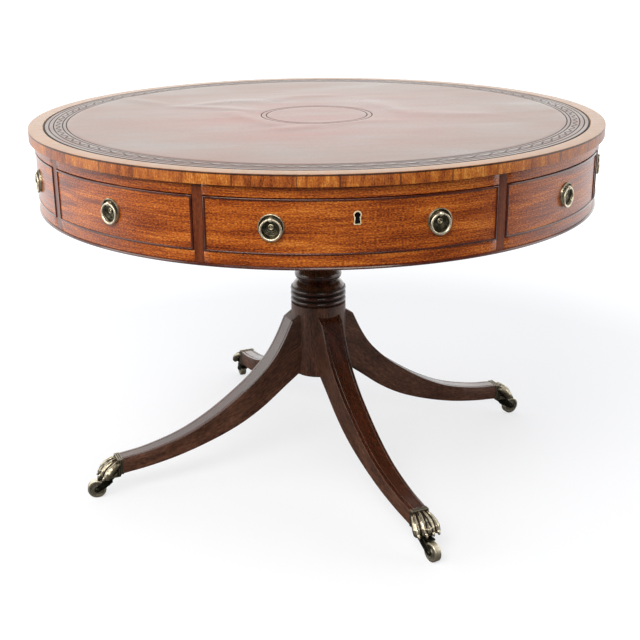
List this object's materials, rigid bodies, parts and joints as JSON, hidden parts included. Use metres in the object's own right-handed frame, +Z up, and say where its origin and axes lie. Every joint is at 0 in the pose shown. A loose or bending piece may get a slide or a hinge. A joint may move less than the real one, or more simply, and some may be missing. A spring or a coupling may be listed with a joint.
{
  "type": "drum table",
  "caption": "Round writing table with a revolving leather-lined drum of drawers on a turned column, sabre legs, paw caps and castors.",
  "frame": {"origin": "on the floor under the middle of the table, on the axis that the drum turns about", "axes": "+Z up; a long drawer faces each of +X, +Y, -X and -Y; the legs stand 17.5 degrees past those directions"},
  "size_m": [1.0998, 1.1, 0.731],
  "materials": {
    "base_mahogany": "old french polish",
    "frieze_mahogany": "french polished veneer",
    "carcase_pine": "plain, unpolished",
    "drawer_oak": "plain, unpolished",
    "tooled_leather": "waxed, with blind and gilt tooling",
    "aged_brass": "aged, rubbed bright on the edges",
    "iron": "dark, oiled"
  },
  "bodies": {
    "base": {"column": "base_mahogany", "leg_1": "base_mahogany", "leg_2": "base_mahogany", "leg_3": "base_mahogany", "leg_4": "base_mahogany", "paw_caps": "aged_brass", "spindle": "iron"},
    "drum": {"top_board": "carcase_pine", "top_banding": "frieze_mahogany", "leather_top": "tooled_leather", "upper_rail": "frieze_mahogany", "lower_rail": "frieze_mahogany", "stiles": "frieze_mahogany", "drum_floor": "carcase_pine", "partitions": "carcase_pine", "hub_block": "carcase_pine"},
    "long_drawer_1": {"long_drawer_front_1": "frieze_mahogany", "long_drawer_box_1": "drawer_oak", "long_drawer_fittings_1": "aged_brass"},
    "lock_bolt_1": {"lock_bolt_1": "iron"},
    "long_drawer_2": {"long_drawer_front_2": "frieze_mahogany", "long_drawer_box_2": "drawer_oak", "long_drawer_fittings_2": "aged_brass"},
    "lock_bolt_2": {"lock_bolt_2": "iron"},
    "long_drawer_3": {"long_drawer_front_3": "frieze_mahogany", "long_drawer_box_3": "drawer_oak", "long_drawer_fittings_3": "aged_brass"},
    "lock_bolt_3": {"lock_bolt_3": "iron"},
    "long_drawer_4": {"long_drawer_front_4": "frieze_mahogany", "long_drawer_box_4": "drawer_oak", "long_drawer_fittings_4": "aged_brass"},
    "lock_bolt_4": {"lock_bolt_4": "iron"},
    "short_drawer_1": {"short_drawer_1": "frieze_mahogany", "short_drawer_fittings_1": "aged_brass"},
    "short_drawer_2": {"short_drawer_2": "frieze_mahogany", "short_drawer_fittings_2": "aged_brass"},
    "short_drawer_3": {"short_drawer_3": "frieze_mahogany", "short_drawer_fittings_3": "aged_brass"},
    "short_drawer_4": {"short_drawer_4": "frieze_mahogany", "short_drawer_fittings_4": "aged_brass"},
    "ring_handle_1": {"ring_handle_1": "aged_brass"},
    "ring_handle_2": {"ring_handle_2": "aged_brass"},
    "ring_handle_3": {"ring_handle_3": "aged_brass"},
    "ring_handle_4": {"ring_handle_4": "aged_brass"},
    "ring_handle_5": {"ring_handle_5": "aged_brass"},
    "ring_handle_6": {"ring_handle_6": "aged_brass"},
    "ring_handle_7": {"ring_handle_7": "aged_brass"},
    "ring_handle_8": {"ring_handle_8": "aged_brass"},
    "ring_handle_9": {"ring_handle_9": "aged_brass"},
    "ring_handle_10": {"ring_handle_10": "aged_brass"},
    "ring_handle_11": {"ring_handle_11": "aged_brass"},
    "ring_handle_12": {"ring_handle_12": "aged_brass"},
    "castor_fork_1": {"castor_fork_1": "aged_brass"},
    "castor_wheel_1": {"castor_wheel_1": "aged_brass"},
    "castor_fork_2": {"castor_fork_2": "aged_brass"},
    "castor_wheel_2": {"castor_wheel_2": "aged_brass"},
    "castor_fork_3": {"castor_fork_3": "aged_brass"},
    "castor_wheel_3": {"castor_wheel_3": "aged_brass"},
    "castor_fork_4": {"castor_fork_4": "aged_brass"},
    "castor_wheel_4": {"castor_wheel_4": "aged_brass"}
  },
  "joints": [
    {"name": "drum_revolve", "type": "hinge", "parent": "base", "child": "drum", "pos_m": [0, 0, 0.5852], "axis": [0, 0, 1], "continuous": true},
    {"name": "long_drawer_slide_1", "type": "slide", "parent": "drum", "child": "long_drawer_1", "axis": [1, 0, 0], "range_m": [0, 0.24]},
    {"name": "lock_bolt_slide_1", "type": "slide", "parent": "long_drawer_1", "child": "lock_bolt_1", "axis": [0, 0, 1], "range_m": [0, 0.006]},
    {"name": "long_drawer_slide_2", "type": "slide", "parent": "drum", "child": "long_drawer_2", "axis": [0, 1, 0], "range_m": [0, 0.24]},
    {"name": "lock_bolt_slide_2", "type": "slide", "parent": "long_drawer_2", "child": "lock_bolt_2", "axis": [0, 0, 1], "range_m": [0, 0.006]},
    {"name": "long_drawer_slide_3", "type": "slide", "parent": "drum", "child": "long_drawer_3", "axis": [-1, 0, 0], "range_m": [0, 0.24]},
    {"name": "lock_bolt_slide_3", "type": "slide", "parent": "long_drawer_3", "child": "lock_bolt_3", "axis": [0, 0, 1], "range_m": [0, 0.006]},
    {"name": "long_drawer_slide_4", "type": "slide", "parent": "drum", "child": "long_drawer_4", "axis": [0, -1, 0], "range_m": [0, 0.24]},
    {"name": "lock_bolt_slide_4", "type": "slide", "parent": "long_drawer_4", "child": "lock_bolt_4", "axis": [0, 0, 1], "range_m": [0, 0.006]},
    {"name": "short_drawer_slide_1", "type": "slide", "parent": "drum", "child": "short_drawer_1", "axis": [0.7071, 0.7071, 0], "range_m": [0, 0.14]},
    {"name": "short_drawer_slide_2", "type": "slide", "parent": "drum", "child": "short_drawer_2", "axis": [-0.7071, 0.7071, 0], "range_m": [0, 0.14]},
    {"name": "short_drawer_slide_3", "type": "slide", "parent": "drum", "child": "short_drawer_3", "axis": [-0.7071, -0.7071, 0], "range_m": [0, 0.14]},
    {"name": "short_drawer_slide_4", "type": "slide", "parent": "drum", "child": "short_drawer_4", "axis": [0.7071, -0.7071, 0], "range_m": [0, 0.14]},
    {"name": "ring_handle_hinge_1", "type": "hinge", "parent": "long_drawer_1", "child": "ring_handle_1", "pos_m": [0.52838, -0.13272, 0.6588], "axis": [-0.2436, -0.9699, 0], "range_deg": [0, 150]},
    {"name": "ring_handle_hinge_2", "type": "hinge", "parent": "long_drawer_1", "child": "ring_handle_2", "pos_m": [0.52838, 0.13272, 0.6588], "axis": [0.2436, -0.9699, 0], "range_deg": [0, 150]},
    {"name": "ring_handle_hinge_3", "type": "hinge", "parent": "long_drawer_2", "child": "ring_handle_3", "pos_m": [0.13272, 0.52838, 0.6588], "axis": [0.9699, -0.2436, 0], "range_deg": [0, 150]},
    {"name": "ring_handle_hinge_4", "type": "hinge", "parent": "long_drawer_2", "child": "ring_handle_4", "pos_m": [-0.13272, 0.52838, 0.6588], "axis": [0.9699, 0.2436, 0], "range_deg": [0, 150]},
    {"name": "ring_handle_hinge_5", "type": "hinge", "parent": "long_drawer_3", "child": "ring_handle_5", "pos_m": [-0.52838, 0.13272, 0.6588], "axis": [0.2436, 0.9699, 0], "range_deg": [0, 150]},
    {"name": "ring_handle_hinge_6", "type": "hinge", "parent": "long_drawer_3", "child": "ring_handle_6", "pos_m": [-0.52838, -0.13272, 0.6588], "axis": [-0.2436, 0.9699, 0], "range_deg": [0, 150]},
    {"name": "ring_handle_hinge_7", "type": "hinge", "parent": "long_drawer_4", "child": "ring_handle_7", "pos_m": [-0.13272, -0.52838, 0.6588], "axis": [-0.9699, 0.2436, 0], "range_deg": [0, 150]},
    {"name": "ring_handle_hinge_8", "type": "hinge", "parent": "long_drawer_4", "child": "ring_handle_8", "pos_m": [0.13272, -0.52838, 0.6588], "axis": [-0.9699, -0.2436, 0], "range_deg": [0, 150]},
    {"name": "ring_handle_hinge_9", "type": "hinge", "parent": "short_drawer_1", "child": "ring_handle_9", "pos_m": [0.38523, 0.38523, 0.6588], "axis": [0.7071, -0.7071, 0], "range_deg": [0, 150]},
    {"name": "ring_handle_hinge_10", "type": "hinge", "parent": "short_drawer_2", "child": "ring_handle_10", "pos_m": [-0.38523, 0.38523, 0.6588], "axis": [0.7071, 0.7071, 0], "range_deg": [0, 150]},
    {"name": "ring_handle_hinge_11", "type": "hinge", "parent": "short_drawer_3", "child": "ring_handle_11", "pos_m": [-0.38523, -0.38523, 0.6588], "axis": [-0.7071, 0.7071, 0], "range_deg": [0, 150]},
    {"name": "ring_handle_hinge_12", "type": "hinge", "parent": "short_drawer_4", "child": "ring_handle_12", "pos_m": [0.38523, -0.38523, 0.6588], "axis": [-0.7071, -0.7071, 0], "range_deg": [0, 150]},
    {"name": "castor_swivel_1", "type": "hinge", "parent": "base", "child": "castor_fork_1", "pos_m": [0.44062, 0.13893, 0.0417], "axis": [0, 0, 1], "continuous": true},
    {"name": "castor_roll_1", "type": "hinge", "parent": "castor_fork_1", "child": "castor_wheel_1", "pos_m": [0.46481, 0.14846, 0.0185], "axis": [-0.3665, 0.9304, 0], "continuous": true},
    {"name": "castor_swivel_2", "type": "hinge", "parent": "base", "child": "castor_fork_2", "pos_m": [-0.13893, 0.44062, 0.0417], "axis": [0, 0, 1], "continuous": true},
    {"name": "castor_roll_2", "type": "hinge", "parent": "castor_fork_2", "child": "castor_wheel_2", "pos_m": [-0.14411, 0.46609, 0.0185], "axis": [-0.9799, -0.1994, 0], "continuous": true},
    {"name": "castor_swivel_3", "type": "hinge", "parent": "base", "child": "castor_fork_3", "pos_m": [-0.44062, -0.13893, 0.0417], "axis": [0, 0, 1], "continuous": true},
    {"name": "castor_roll_3", "type": "hinge", "parent": "castor_fork_3", "child": "castor_wheel_3", "pos_m": [-0.46657, -0.14051, 0.0185], "axis": [0.061, -0.9981, 0], "continuous": true},
    {"name": "castor_swivel_4", "type": "hinge", "parent": "base", "child": "castor_fork_4", "pos_m": [0.13893, -0.44062, 0.0417], "axis": [0, 0, 1], "continuous": true},
    {"name": "castor_roll_4", "type": "hinge", "parent": "castor_fork_4", "child": "castor_wheel_4", "pos_m": [0.14971, -0.46428, 0.0185], "axis": [0.91, 0.4147, 0], "continuous": true}
  ]
}
